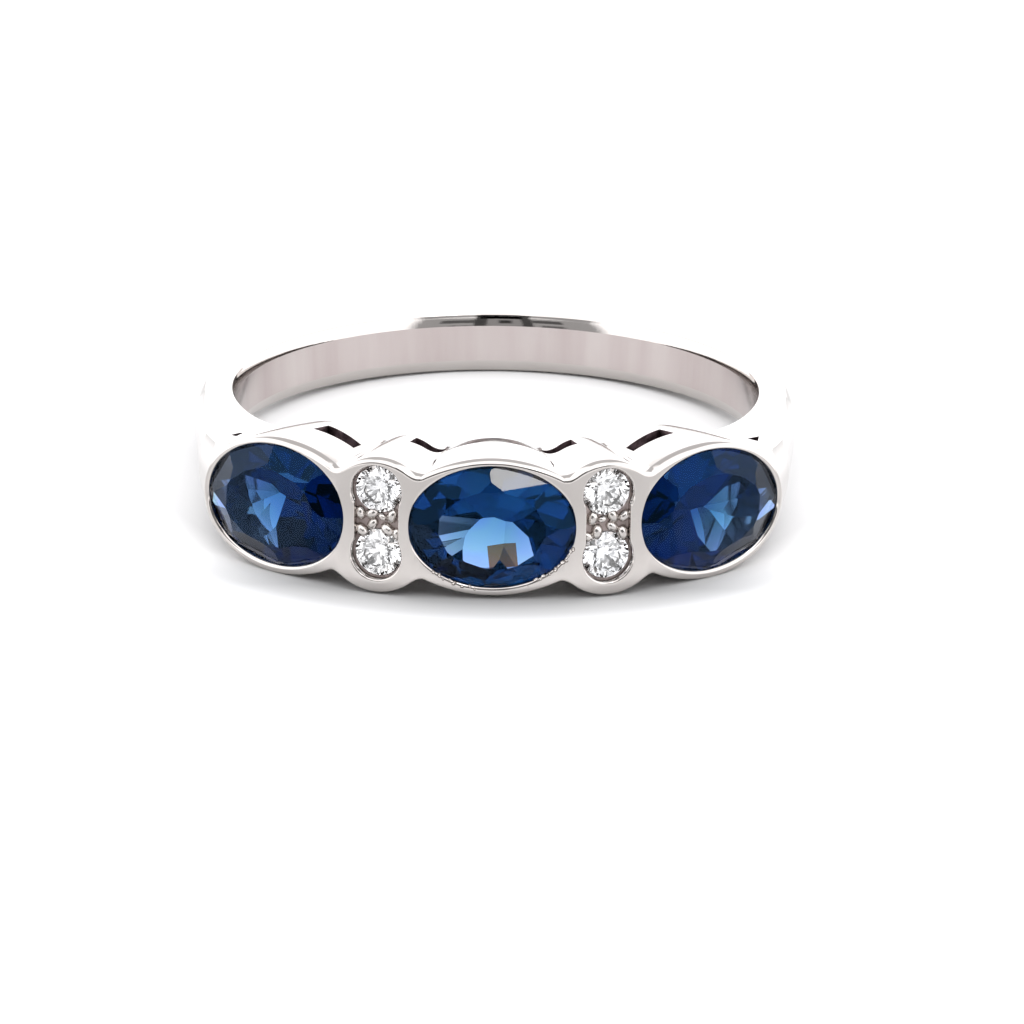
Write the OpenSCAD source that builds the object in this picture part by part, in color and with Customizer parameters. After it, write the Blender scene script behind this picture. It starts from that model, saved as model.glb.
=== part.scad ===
// Ring with three oval stones in rubbed-over collets and four small round stones
// in two sunk plates between them. It lies on its side, as it rests on a table.
// All sizes are in millimetres. The origin is the centre of the finger hole.
//
// The ring is drawn flat first: finger axis along Z, head towards -Y. Places on the
// head are given by the angle from -Y and the distance from the finger axis.

/* [Finger] */
// Diameter of the finger hole
finger_d = 17; // [16:0.5:19]

/* [Shank] */
// Width of the shank, along the finger
band_w = 2.0; // [1.8:0.1:2.2]
// Thickness of the shank at its crown
band_t = 1.4; // [1.3:0.1:1.6]
// Radius of the rounded outside of the shank's section
court_r = 1.4; // [1.3:0.1:1.8]
// Bevel at the inner edges of the shank
edge_bevel = 0.15; // [0.1:0.05:0.2]

/* [Head] */
// Height of the collets' faces above the finger hole
head_rise = 3.75; // [3.6:0.05:3.9]
// Length of a collet's face round the ring
collet_l = 4.9; // [4.8:0.05:5]
// Height of a collet's face, along the finger
collet_h = 4.44; // [4.4:0.02:4.6]
// Height of a collet at the finger hole
collet_base_h = 3.64; // [3.5:0.02:3.7]
// Reach of an outer collet's round end from its middle
collet_end = 2.88; // [2.84:0.02:2.92]
// Width of a plate round the ring
plate_w = 2.47; // [2.4:0.01:2.55]
// Height of a plate's face, along the finger
plate_h = 4.24; // [4.2:0.02:4.3]
// Height of a plate at the finger hole
plate_base_h = 3.54; // [3.5:0.02:3.6]

/* [Oval stones] */
// Length of an oval stone
oval_l = 5.4; // [5.3:0.05:5.45]
// Width of an oval stone
oval_w = 4.04; // [3.95:0.01:4.1]
// Depth of an oval stone from table to point
oval_depth = 2.5; // [2.2:0.1:2.7]
// How far the rubbed-over lip covers the stone's edge
lip_cover = 0.11; // [0.08:0.01:0.14]

/* [Round stones] */
// Diameter of a small round stone
round_d = 1.5; // [1.4:0.05:1.55]
// Distance between the two stones of a plate
round_pitch = 2.06; // [2:0.02:2.1]
// Depth of the sunk channel that the round stones sit in
channel_depth = 0.34; // [0.3:0.02:0.4]
// Half width of the channel at its waist
waist = 0.71; // [0.68:0.01:0.74]

/* [Hidden] */
$fn = 96;

// The ring's main radii
finger_r = finger_d / 2;
crown_r = finger_r + band_t;
core_r = finger_r - 0.3;                 // metal is drawn in to here, then bored out
wall_below = 0.6;                        // side walls are drawn this far inside the hole
wall_above = 2;                          // and this far outside their faces
band_half = band_w / 2;
side_r = crown_r - court_r + sqrt(court_r * court_r - band_half * band_half);

// The five faces of the head meet edge to edge, so their angles follow from their widths
face_r = finger_r + head_rise;
collet_half = collet_l / 2;
plate_half = plate_w / 2;
plate_face_r = sqrt(face_r * face_r + collet_half * collet_half - plate_half * plate_half);
plate_turn = atan(collet_half / face_r) + atan(plate_half / plate_face_r);
outer_turn = 2 * plate_turn;

// Scallops: radius across the crown of a side wall, at the base and at the face
collet_base_round = 3.6;
collet_face_round = 4.8;
plate_round = 1.81;
flank = 1.6;                             // half width of a collet at the finger hole

// Round end of the outer collets
end_face_r = 2.2;
end_base_r = 1.95;
end_place = collet_end - end_face_r;

// Shoulders run along the line that touches the shank's crown and reaches the outer collet
end_turn = outer_turn + atan(collet_end / face_r);
end_r = sqrt(face_r * face_r + collet_end * collet_end);
touch_turn = end_turn + acos(crown_r / end_r);
shoulder_l = sqrt(end_r * end_r - crown_r * crown_r);
shoulder_round = 2.9;                    // radius of the crown where it meets the collet
shoulder_step = 0.02;                    // the shoulder stands this much outside the shank
flare_start = 2.5;                       // distance in front of the finger axis
flare_r = 23;                            // radius of the widening, seen from the side
rim_stand = 0.25;                        // the collet's rim stands above the shoulder

// Open windows between the base rail and the collets: [first angle, last angle]
rail_t = 0.85;
window_h = 0.5;
windows = [[9.2, 15.4], [26.3, 34.3]];
// Small window where a shoulder meets its collet: three corners in the ring's plane
shoulder_window = [[8.0, -7.0], [8.45, -6.55], [8.4, -7.5]];

// Oval stones: sizes along the stone's own axis, from the girdle
oval_ratio = oval_w / oval_l;
oval_a = oval_l / 2;
girdle_t = 0.08;
crown_h = 0.52;
girdle_r = face_r - 0.22;                // height of the top of the girdle
seat_gap = 0.03;
back_hole = 1.25;                        // half length of the open back
seat_depth = 1.75;

// Cut of the crowns: where the table's corners and the star tips lie, from middle to edge
table_share = 0.56;
star_share = 0.8;

// Round stones
round_a = round_d / 2;
round_crown = 0.16 * round_d;
round_pavilion = 0.43 * round_d;
round_low_share = 0.24;                  // inner tips of the lower half facets
round_girdle_t = 0.03;
channel_r = round_a + 0.07;
floor_r = plate_face_r - channel_depth;
round_girdle_r = floor_r + 0.05;
azure_r = 0.3;                           // hole behind a round stone

// Grains: small beads raised from the channel's floor, as [across, along the finger, radius]
grain_rows = [[-0.5, 0.22, 0.15], [0.5, 0.22, 0.15], [-0.5, -0.22, 0.15], [0.5, -0.22, 0.15],
    [0, 0, 0.17]];

// The ring leans back until its shank touches: both outer collets and the shank carry it
lean = atan((collet_h / 2 - band_half) / (face_r * cos(outer_turn) + side_r));

function polar(r, turn) = [r * sin(turn), -r * cos(turn)];

// Carries a child to the head: its Z points outwards, its Y along the finger
module on_head(turn, r) {
    rotate([0, 0, turn]) translate([0, -r, 0]) rotate([90, 0, 0]) children();
}

// Lays the flat ring down as it rests
module resting() {
    rotate([-lean, 0, 0]) children();
}

// Everything below a wall whose crown line runs from (low_h, low_z) to (high_h, high_z)
// in the YZ plane. Across that line the wall is round, with the two given radii.
module under_wall(low_z, high_z, low_h, high_h, low_round, high_round, below, above) {
    run = high_z - low_z;
    rise = (high_h - low_h) / run;
    open = (high_round - low_round) / run;
    z0 = low_z - below;
    z1 = high_z + above;
    h0 = low_h - below * rise;
    slope = atan(rise);
    length = (z1 - z0) / cos(slope);
    half_angle = atan(open * cos(slope));
    r0 = (low_round - below * open) * cos(half_angle);
    r1 = (high_round + above * open) * cos(half_angle);
    translate([0, h0, z0])
        rotate([half_angle - slope, 0, 0])
            translate([0, -r0, 0])
                cylinder(h = length * cos(half_angle), r1 = r0, r2 = r1);
}

// Both side walls of a block of the head
module between_walls(top_z, base_h, top_h, base_round, top_round) {
    intersection() {
        under_wall(finger_r, top_z, base_h, top_h, base_round, top_round, wall_below, wall_above);
        mirror([0, 1, 0])
            under_wall(finger_r, top_z, base_h, top_h, base_round, top_round, wall_below,
                wall_above);
    }
}

// Section of the shank: court outside, bevelled inner edges
module shank_section() {
    bevel_in = edge_bevel + finger_r - core_r;
    intersection() {
        polygon([
            [core_r, -band_half + bevel_in],
            [finger_r + edge_bevel, -band_half],
            [crown_r + 1, -band_half],
            [crown_r + 1, band_half],
            [finger_r + edge_bevel, band_half],
            [core_r, band_half - bevel_in]
        ]);
        translate([crown_r - court_r, 0]) circle(r = court_r);
    }
}

// Band round the back of the finger; its ends run a little way into the shoulders
module shank() {
    run_in = 2;
    rotate([0, 0, touch_turn - 90 - run_in])
        rotate_extrude(angle = 360 - 2 * (touch_turn - run_in)) shank_section();
}

// Outline of a shoulder in the ring's plane, from the shank to inside the collet
module shoulder_outline() {
    collet_corner = polar(end_r - rim_stand, end_turn);
    polygon([
        polar(core_r, touch_turn),
        polar(crown_r + 0.5, touch_turn),
        collet_corner,
        polar(core_r, outer_turn + 6)
    ]);
}

// Side faces that widen towards the head, seen along X
module shoulder_flare() {
    reach = face_r + 2;
    half = band_half + shoulder_step;
    difference() {
        translate([0, -reach, -collet_h]) cube([reach, 2 * reach, 2 * collet_h]);
        for (side = [-1, 1])
            translate([-1, -flare_start, side * (half + flare_r)])
                rotate([0, 90, 0]) cylinder(h = reach + 2, r = flare_r, $fn = 180);
        for (side = [-1, 1])
            translate([-1, -flare_start, side * (half + flare_r) - flare_r])
                cube([reach + 2, reach + flare_start, 2 * flare_r]);
    }
}

// Right shoulder: straight along its crown, rounder near the shank than near the head
module shoulder() {
    step_r = crown_r + shoulder_step;
    intersection() {
        rotate([0, 0, touch_turn - 90])
            rotate([90, 90, 0])
                under_wall(0, shoulder_l, step_r, step_r, court_r + shoulder_step,
                    shoulder_round, wall_below, wall_above);
        shoulder_flare();
        translate([0, 0, -collet_h]) linear_extrude(height = 2 * collet_h) shoulder_outline();
    }
}

// Block of the middle collet; its flanks run into the plates beside it
module middle_collet() {
    intersection() {
        on_head(0, 0)
            between_walls(face_r, collet_base_h / 2, collet_h / 2, collet_base_round,
                collet_face_round);
        translate([0, 0, -collet_h]) linear_extrude(height = 2 * collet_h)
            polygon([[-collet_half, -face_r], [collet_half, -face_r], [flank, -core_r],
                [-flank, -core_r]]);
    }
}

// Block of the right outer collet, with a round outer end
module outer_collet() {
    inner = core_r - 1;
    height = face_r - inner + 0.5;
    intersection() {
        on_head(outer_turn, 0)
            between_walls(face_r, collet_base_h / 2, collet_h / 2, collet_base_round,
                collet_face_round);
        rotate([0, 0, outer_turn])
            translate([0, 0, -collet_h]) linear_extrude(height = 2 * collet_h)
                polygon([[-collet_half, -face_r], [collet_end + 1, -face_r],
                    [collet_end + 1, -inner], [-flank, -core_r]]);
        on_head(outer_turn, inner)
            translate([end_place, 0, 0]) {
                cylinder(h = height, r1 = end_base_r, r2 = end_face_r);
                translate([-2 * collet_half, -collet_h, 0])
                    cube([2 * collet_half, 2 * collet_h, height]);
            }
    }
}

// Block of the right plate, with straight flanks and a round crown at either end
module plate() {
    on_head(plate_turn, 0)
        for (side = [0, 1]) mirror([0, side, 0])
            intersection() {
                under_wall(finger_r, plate_face_r, plate_base_h / 2, plate_h / 2,
                    plate_round, plate_round, wall_below, wall_above);
                translate([-plate_half, -collet_h, core_r])
                    cube([plate_w, 2 * collet_h, plate_face_r - core_r]);
            }
}

// Hollow of a collet: lip, groove for the girdle, seat under the stone, open back
module collet_hollow() {
    groove = oval_a + seat_gap;
    lip = oval_a - lip_cover;
    top = face_r - girdle_r;
    lip_top = seat_gap + lip_cover * 0.7;
    scale([1, oval_ratio, 1])
        rotate_extrude()
            polygon([
                [0, -girdle_r + core_r - 1],
                [back_hole, -girdle_r + core_r - 1],
                [back_hole, -seat_depth],
                [groove, -girdle_t - seat_gap],
                [groove, seat_gap],
                [lip, lip_top],
                [lip + 0.04, top + 0.5],
                [0, top + 0.5]
            ]);
}

// Sunk dog-bone channel of a plate, with a seat and a hole behind each round stone
module plate_hollow() {
    for (side = [-1, 1]) translate([0, side * round_pitch / 2, 0]) {
        translate([0, 0, floor_r]) cylinder(h = 2, r = channel_r);
        translate([0, 0, round_girdle_r - round_girdle_t - seat_gap])
            cylinder(h = 1, r = round_a + seat_gap);
        translate([0, 0, round_girdle_r - round_girdle_t - seat_gap - round_pavilion])
            cylinder(h = round_pavilion, r1 = azure_r, r2 = round_a + seat_gap);
        translate([0, 0, core_r - 1]) cylinder(h = face_r - core_r, r = azure_r);
    }
    translate([-waist, -round_pitch / 2, floor_r]) cube([2 * waist, round_pitch, 2]);
}

// One window: a stretch of the ring between two angles, cut through along the finger
module window(first, last) {
    inner = finger_r + rail_t;
    outer = inner + window_h;
    far = outer * 1.5;
    translate([0, 0, -collet_h]) linear_extrude(height = 2 * collet_h)
        intersection() {
            difference() {
                circle(r = outer);
                circle(r = inner);
            }
            polygon([[0, 0], polar(far, first), polar(far, last)]);
        }
}

module grains() {
    for (g = grain_rows)
        translate([g[0], g[1], floor_r]) sphere(r = g[2], $fn = 24);
}

// Everything that is the same on the left and the right
module both_sides() {
    for (side = [0, 1]) mirror([side, 0, 0]) children();
}

module metal_blank() {
    shank();
    middle_collet();
    both_sides() {
        shoulder();
        outer_collet();
        plate();
    }
}

module ring_mount() {
    color("gainsboro") resting() {
        difference() {
            metal_blank();
            for (turn = [-outer_turn, 0, outer_turn]) on_head(turn, girdle_r) collet_hollow();
            both_sides() {
                on_head(plate_turn, 0) plate_hollow();
                for (w = windows) window(w[0], w[1]);
                translate([0, 0, -collet_h]) linear_extrude(height = 2 * collet_h)
                    polygon(shoulder_window);
            }
            translate([0, 0, -collet_h]) cylinder(h = 2 * collet_h, r = finger_r);
        }
        both_sides() on_head(plate_turn, 0) grains();
    }
}

// Turn from one corner of a girdle to the next, and to a star tip
edge_turn = 360 / 32;
tip_turn = 2 * edge_turn;

// Corners of a ring of points: count, radius, height, and the turn of the first one
function corners(count, r, z, turn) =
    [for (i = [0 : count - 1]) [r * cos(360 * i / count + turn), r * sin(360 * i / count + turn), z]];

// Height at radius 1 of the flat facet that holds a chord of the girdle, at chord_z, and
// a point at radius r and height z in the middle of the chord's span
function scallop(r, z, chord_z) =
    let (chord = cos(edge_turn)) chord_z + (z - chord_z) * (chord - 1) / (chord - r);

// Ring of the girdle: every second corner lies on the flat facet beside it
function girdle(z, dip_z) =
    [for (i = [0 : 31]) [cos(edge_turn * i), sin(edge_turn * i), i % 2 == 0 ? z : dip_z]];

// Faces between two rings of the same count, the lower ring first
function band_faces(count, low, high) =
    [for (i = [0 : count - 1]) [high + i, high + (i + 1) % count, low + (i + 1) % count, low + i]];

// Facets above the girdle: 8 stars, 8 kites and 16 halves, for a ring of 8 table corners,
// a ring of 8 star tips and a girdle of 32 corners
function crown_faces(table, star, edge) = [
    for (k = [0 : 7]) each [
        [table + k, table + (k + 1) % 8, star + k],
        [table + k, star + k, edge + 4 * k, star + (k + 7) % 8],
        [star + k, edge + 4 * k + 2, edge + 4 * k + 1, edge + 4 * k],
        [star + k, edge + (4 * k + 4) % 32, edge + 4 * k + 3, edge + 4 * k + 2]
    ]
];

// Facets below the girdle of a brilliant: 8 kites to the point and 16 halves
function brilliant_faces(edge, low, point) = [
    for (k = [0 : 7]) each [
        [point, low + (k + 7) % 8, edge + 4 * k, low + k],
        [low + k, edge + 4 * k, edge + 4 * k + 1, edge + 4 * k + 2],
        [low + k, edge + 4 * k + 2, edge + 4 * k + 3, edge + (4 * k + 4) % 32]
    ]
];

// First row of steps under the girdle: 16 flat facets
function first_step(edge, low) =
    [for (k = [0 : 15])
        [edge + 2 * k, edge + 2 * k + 1, edge + (2 * k + 2) % 32, low + (k + 1) % 16, low + k]];

function face_list(first, count) = [for (i = [0 : count - 1]) first + i];
function face_back(first, count) = [for (i = [count - 1 : -1 : 0]) first + i];

// Points of a crown on a girdle of radius 1: table, star tips and the girdle's upper edge
function crown_points(h) =
    let (
        fall = h / (1 - table_share),
        star_z = h - (star_share * cos(tip_turn) - table_share) * fall
    )
    concat(
        corners(8, table_share, h, 0),
        corners(8, star_share, star_z, tip_turn),
        girdle(0, scallop(star_share * cos(edge_turn), star_z, 0))
    );

// Stretches a stone of radius 1 to its half length and half width
function stretched(points, a, b) = [for (p = points) [p[0] * a, p[1] * b, p[2]]];

// Oval stone: brilliant above the girdle, three rows of steps below it
module oval_stone() {
    steps = [[0.86, 0.42], [0.6, 1.0], [0.3, 1.5]];   // radius, depth under the girdle
    point_r = 0.05;
    depth = oval_depth - crown_h - girdle_t;
    low_edge = scallop(steps[0][0] * cos(edge_turn), -steps[0][1], 0);
    points = concat(
        crown_points(crown_h),
        [for (p = girdle(0, low_edge)) [p[0], p[1], p[2] - girdle_t]],
        [for (s = steps) each corners(16, s[0], -girdle_t - s[1], 0)],
        corners(16, point_r, -girdle_t - depth, 0)
    );
    faces = concat(
        [face_back(0, 8)],
        crown_faces(0, 8, 16),
        band_faces(32, 48, 16),
        first_step(48, 80),
        [for (row = [0 : 2]) each band_faces(16, 96 + 16 * row, 80 + 16 * row)],
        [face_list(128, 16)]
    );
    polyhedron(points = stretched(points, oval_a, oval_a * oval_ratio), faces = faces);
}

// Round stone: brilliant above and below the girdle
module round_stone() {
    low_z = -round_pavilion * (1 - round_low_share * cos(tip_turn));
    low_edge = scallop(round_low_share * cos(edge_turn), low_z, 0);
    points = concat(
        crown_points(round_crown),
        [for (p = girdle(0, low_edge)) [p[0], p[1], p[2] - round_girdle_t]],
        corners(8, round_low_share, low_z - round_girdle_t, tip_turn),
        [[0, 0, -round_pavilion - round_girdle_t]]
    );
    faces = concat(
        [face_back(0, 8)],
        crown_faces(0, 8, 16),
        band_faces(32, 48, 16),
        brilliant_faces(48, 80, 88)
    );
    polyhedron(points = stretched(points, round_a, round_a), faces = faces);
}

module sapphire(turn) {
    color("midnightblue") resting() on_head(turn, girdle_r) oval_stone();
}

module diamond(turn, side) {
    color("white") resting()
        on_head(turn, round_girdle_r) translate([0, side * round_pitch / 2, 0]) round_stone();
}

module sapphire_left() { sapphire(-outer_turn); }
module sapphire_centre() { sapphire(0); }
module sapphire_right() { sapphire(outer_turn); }
module diamond_left_upper() { diamond(-plate_turn, 1); }
module diamond_left_lower() { diamond(-plate_turn, -1); }
module diamond_right_upper() { diamond(plate_turn, 1); }
module diamond_right_lower() { diamond(plate_turn, -1); }

ring_mount();
sapphire_left();
sapphire_centre();
sapphire_right();
diamond_left_upper();
diamond_left_lower();
diamond_right_upper();
diamond_right_lower();
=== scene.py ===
"""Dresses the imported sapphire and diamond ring: polished mount, cut stones, light and camera.

All surfaces are worked out in millimetres with the ring drawn flat: the finger axis is Z and
the head points towards -Y. A last step leans the ring back as it rests and turns millimetres
into metres.
"""
import itertools
import logging
import math
from dataclasses import dataclass, replace
from enum import Enum

import bmesh
import bpy
import numpy as np
from mathutils import Matrix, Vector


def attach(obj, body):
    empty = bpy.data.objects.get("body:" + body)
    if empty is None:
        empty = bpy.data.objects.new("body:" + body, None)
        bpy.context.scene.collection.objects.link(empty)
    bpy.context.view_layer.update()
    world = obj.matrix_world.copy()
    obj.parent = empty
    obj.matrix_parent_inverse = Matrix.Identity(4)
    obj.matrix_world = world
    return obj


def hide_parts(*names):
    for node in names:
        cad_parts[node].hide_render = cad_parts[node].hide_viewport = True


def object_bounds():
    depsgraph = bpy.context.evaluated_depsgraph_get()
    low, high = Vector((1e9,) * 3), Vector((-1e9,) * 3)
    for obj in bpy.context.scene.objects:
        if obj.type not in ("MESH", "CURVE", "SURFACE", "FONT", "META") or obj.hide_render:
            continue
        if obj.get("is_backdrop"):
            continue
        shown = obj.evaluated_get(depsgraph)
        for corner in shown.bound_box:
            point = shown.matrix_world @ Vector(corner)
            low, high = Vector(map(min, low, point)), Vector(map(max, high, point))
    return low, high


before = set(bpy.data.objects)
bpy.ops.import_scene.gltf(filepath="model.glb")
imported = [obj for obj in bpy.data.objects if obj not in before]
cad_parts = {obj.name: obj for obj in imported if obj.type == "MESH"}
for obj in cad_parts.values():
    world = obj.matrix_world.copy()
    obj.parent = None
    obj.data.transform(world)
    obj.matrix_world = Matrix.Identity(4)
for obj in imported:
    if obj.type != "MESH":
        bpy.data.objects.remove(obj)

Array = np.ndarray
Socket = bpy.types.NodeSocket
Value = float | Socket
Colour = tuple[float, float, float, float]
LOG = logging.getLogger("ring")
MM = 0.001


class Surface(Enum):
    """Surfaces of the soldered metal, numbered as its finishes are."""

    POLISHED = 0
    BORE = 1
    # Rough metal of the hollows, darker with painted shade.
    RECESS = 2
    # Walls of the windows, whose finish holds painted shade.
    WINDOW = 3


@dataclass(frozen=True)
class RingSizes:
    """The ring's main sizes, in millimetres.

    They are those of the solids, but the shoulders open later and in a wider arc.
    """

    finger_r: float = 8.5
    bore_stock: float = 0.3
    crown_r: float = 9.9
    band_half: float = 1.0
    court_r: float = 1.4
    face_r: float = 12.25
    collet_half: float = 2.45
    plate_half: float = 1.235
    collet_h: float = 4.44
    collet_end: float = 2.88
    rim_stand: float = 0.25
    shoulder_round: float = 2.9
    flare_start: float = 3.0
    flare_r: float = 30.0

    @property
    def core_r(self) -> float:
        """Metal is drawn in to here before the finger hole is cut."""
        return self.finger_r - self.bore_stock

    @property
    def plate_face_r(self) -> float:
        """Distance of a plate's face, whose edges meet the collets' edges."""
        return math.sqrt(self.face_r**2 + self.collet_half**2 - self.plate_half**2)

    @property
    def plate_turn(self) -> float:
        """Angle of the right plate from the middle of the head, in radians."""
        return math.atan(self.collet_half / self.face_r) + math.atan(self.plate_half / self.plate_face_r)

    @property
    def outer_turn(self) -> float:
        """Angle of the right outer collet, in radians."""
        return 2 * self.plate_turn

    @property
    def side_r(self) -> float:
        """Distance at which the court outside of the shank meets its flat sides."""
        return self.crown_r - self.court_r + math.sqrt(self.court_r**2 - self.band_half**2)

    @property
    def lean(self) -> float:
        """How far the ring leans back at rest, in radians."""
        reach = self.face_r * math.cos(self.outer_turn) + self.side_r
        return math.atan((self.collet_h / 2 - self.band_half) / reach)

    @property
    def end_turn(self) -> float:
        """Angle of the far end of the right outer collet's face."""
        return self.outer_turn + math.atan(self.collet_end / self.face_r)

    @property
    def touch_turn(self) -> float:
        """Angle at which a shoulder's straight crown leaves the round of the shank."""
        return self.end_turn + math.acos(self.crown_r / math.hypot(self.face_r, self.collet_end))


RING = RingSizes()


def on_head(turn: float, across: Array, along: Array, out: Array) -> Array:
    """Carries points of a block to the ring.

    Args:
        turn: Angle of the block from the middle of the head.
        across: Offsets round the ring.
        along: Offsets along the finger.
        out: Distances from the finger axis.

    Returns:
        The points, one row of three numbers each, in millimetres.
    """
    across, along, out = np.broadcast_arrays(across, along, out)
    x = across * math.cos(turn) + out * math.sin(turn)
    y = across * math.sin(turn) - out * math.cos(turn)
    return np.stack([x, y, along], axis=-1)


def around(turn: Array, out: Array, along: Array) -> Array:
    """Points at angles: distance times sine, less distance times cosine, and height."""
    return np.stack([out * np.sin(turn), -out * np.cos(turn), along], axis=-1)


def polar(out: float, turn: float) -> Array:
    """A point in the ring's plane: distance times sine, and less distance times cosine."""
    return np.array([out * math.sin(turn), -out * math.cos(turn)])


def line_distance(a: Array, b: Array, turn: Array) -> Array:
    """Distance from the finger axis to the line through two points, along each angle.

    Args:
        a: One point in the ring's plane.
        b: Another point there.
        turn: Angles from the middle of the head.

    Returns:
        The distances.
    """
    cross = a[0] * b[1] - a[1] * b[0]
    way = b - a
    return np.abs(cross / (np.sin(turn) * way[1] + np.cos(turn) * way[0]))


def at_rest(points: Array) -> Array:
    """Leans points of the flat ring back about X and turns them into metres.

    Args:
        points: Rows of three numbers, in millimetres.

    Returns:
        The points in metres.
    """
    c, s = math.cos(-RING.lean), math.sin(-RING.lean)
    turn = np.array([[1, 0, 0], [0, c, -s], [0, s, c]])
    return points @ turn.T * MM


def smooth(x: Array) -> Array:
    """Eases from 0 to 1: three times the square less twice the cube, held at both ends."""
    x = np.clip(x, 0, 1)
    return x * x * (3 - 2 * x)


def blend_max(a: Array, b: Array, soft: float) -> Array:
    """The larger of two numbers, with a fillet where they differ by less than soft."""
    return np.maximum(a, b) + np.clip(soft - np.abs(a - b), 0, None) ** 2 / (4 * soft)


def mesh_from(name: str, points: Array, loops: Array, starts: Array) -> bpy.types.Mesh:
    """Fills a mesh from whole arrays.

    Args:
        name: The mesh's name.
        points: One row of three numbers for each vertex.
        loops: Vertex numbers of all faces, one face after the other.
        starts: Where each face starts in loops.

    Returns:
        The mesh, with its faces turned outwards.
    """
    counts = np.diff(np.append(starts, len(loops)))
    first = np.repeat(loops[starts], counts)
    following = np.roll(loops, -1)
    following[starts + counts - 1] = loops[starts]
    volume = np.einsum("ij,ij->", points[first], np.cross(points[loops], points[following]))
    if volume < 0:
        order = np.arange(len(loops))
        ends = np.repeat(starts + counts - 1, counts) + np.repeat(starts, counts)
        loops = loops[ends - order]
    mesh = bpy.data.meshes.new(name)
    mesh.vertices.add(len(points))
    mesh.vertices.foreach_set("co", np.ascontiguousarray(points, dtype=np.float32).ravel())
    mesh.loops.add(len(loops))
    mesh.loops.foreach_set("vertex_index", loops.astype(np.int32))
    mesh.polygons.add(len(starts))
    mesh.polygons.foreach_set("loop_start", starts.astype(np.int32))
    mesh.update(calc_edges=True)
    mesh.validate()
    return mesh


def read(rows: bpy.types.bpy_prop_collection, name: str, kind: type = np.int32) -> Array:
    """One number of every face, corner or edge of a mesh.

    Args:
        rows: The faces, corners or edges.
        name: What is read.
        kind: Its type.

    Returns:
        One number for each row.
    """
    found = np.empty(len(rows), dtype=kind)
    rows.foreach_get(name, found)
    return found


def object_of(mesh: bpy.types.Mesh) -> bpy.types.Object:
    """Puts a mesh into the scene under its own name.

    Args:
        mesh: The mesh.

    Returns:
        Its new object.
    """
    made = bpy.data.objects.new(mesh.name, mesh)
    bpy.context.scene.collection.objects.link(made)
    return made


def sew(mesh: bpy.types.Mesh) -> None:
    """Joins corners that lie on each other, and drops the faces that close up.

    Args:
        mesh: The mesh, which is changed.
    """
    work = bmesh.new()
    work.from_mesh(mesh)
    bmesh.ops.remove_doubles(work, verts=work.verts, dist=1e-7)
    work.to_mesh(mesh)
    work.free()


def tube(
    name: str,
    grid: Array,
    left_as: Surface | list[Surface] = Surface.POLISHED,
    flat_ends: bool = False,
) -> bpy.types.Object:
    """Closes a grid of rings into a solid: the first and last ring are drawn to a point each.

    Args:
        name: The new object's name.
        grid: Rings of points, rings first, then points round a ring.
        left_as: What the faces are left as, for all or for each strip from ring to ring.
        flat_ends: Whether the first and last ring are folded flat, so that their corners are
            joined in pairs instead.

    Returns:
        The solid, in metres and at rest.
    """
    rings, round_count = grid.shape[:2]
    flat = grid.reshape(-1, 3)
    ring, step = np.meshgrid(np.arange(rings - 1), np.arange(round_count), indexing="ij")
    here, beside = ring * round_count + step, ring * round_count + (step + 1) % round_count
    loops = np.stack([here, beside, beside + round_count, here + round_count], axis=-1).reshape(-1)
    starts = np.arange(0, len(loops), 4)
    strip = ring.reshape(-1)
    if not flat_ends:
        one = np.arange(round_count)
        two = (one + 1) % round_count
        last = (rings - 1) * round_count
        low = np.stack([np.full_like(one, len(flat)), two, one], axis=-1).reshape(-1)
        high = np.stack([np.full_like(one, len(flat) + 1), last + one, last + two], axis=-1).reshape(-1)
        starts = np.concatenate([starts, len(loops) + np.arange(0, len(low) + len(high), 3)])
        loops = np.concatenate([loops, low, high])
        strip = np.concatenate([strip, np.zeros_like(one), np.full_like(one, rings - 2)])
        flat = np.vstack([flat, grid[0].mean(axis=0), grid[-1].mean(axis=0)])
    mesh = mesh_from(name, at_rest(flat), loops, starts)
    kinds = left_as if isinstance(left_as, list) else [left_as] * (rings - 1)
    numbers = np.array([kind.value for kind in kinds], dtype=np.int32)
    mesh.polygons.foreach_set("material_index", numbers[strip])
    if flat_ends:
        sew(mesh)
    return object_of(mesh)


def settle(target: bpy.types.Object) -> None:
    """Applies all modifiers of an object to its mesh.

    Args:
        target: The object, whose mesh is replaced.
    """
    graph = bpy.context.evaluated_depsgraph_get()
    made = bpy.data.meshes.new_from_object(target.evaluated_get(graph))
    target.modifiers.clear()
    old = target.data
    target.data = made
    made.name = target.name
    bpy.data.meshes.remove(old)


def combine(target: bpy.types.Object, joined: list, cut: list, finishes: list) -> None:
    """Joins solids to a solid and then cuts others out of it.

    Args:
        target: The solid that stays.
        joined: Solids that are added.
        cut: Solids that are taken away.
        finishes: The finish of each kind of surface.
    """
    for part in [target, *joined, *cut]:
        if not part.data.materials:
            for finish in finishes:
                part.data.materials.append(finish)
    for operation, tools in (("UNION", joined), ("DIFFERENCE", cut)):
        for tool in tools:
            step = target.modifiers.new(tool.name, "BOOLEAN")
            step.operation = operation
            step.solver = "MANIFOLD"
            step.object = tool
    settle(target)
    for tool in joined + cut:
        data = tool.data
        bpy.data.objects.remove(tool)
        bpy.data.meshes.remove(data)


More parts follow.
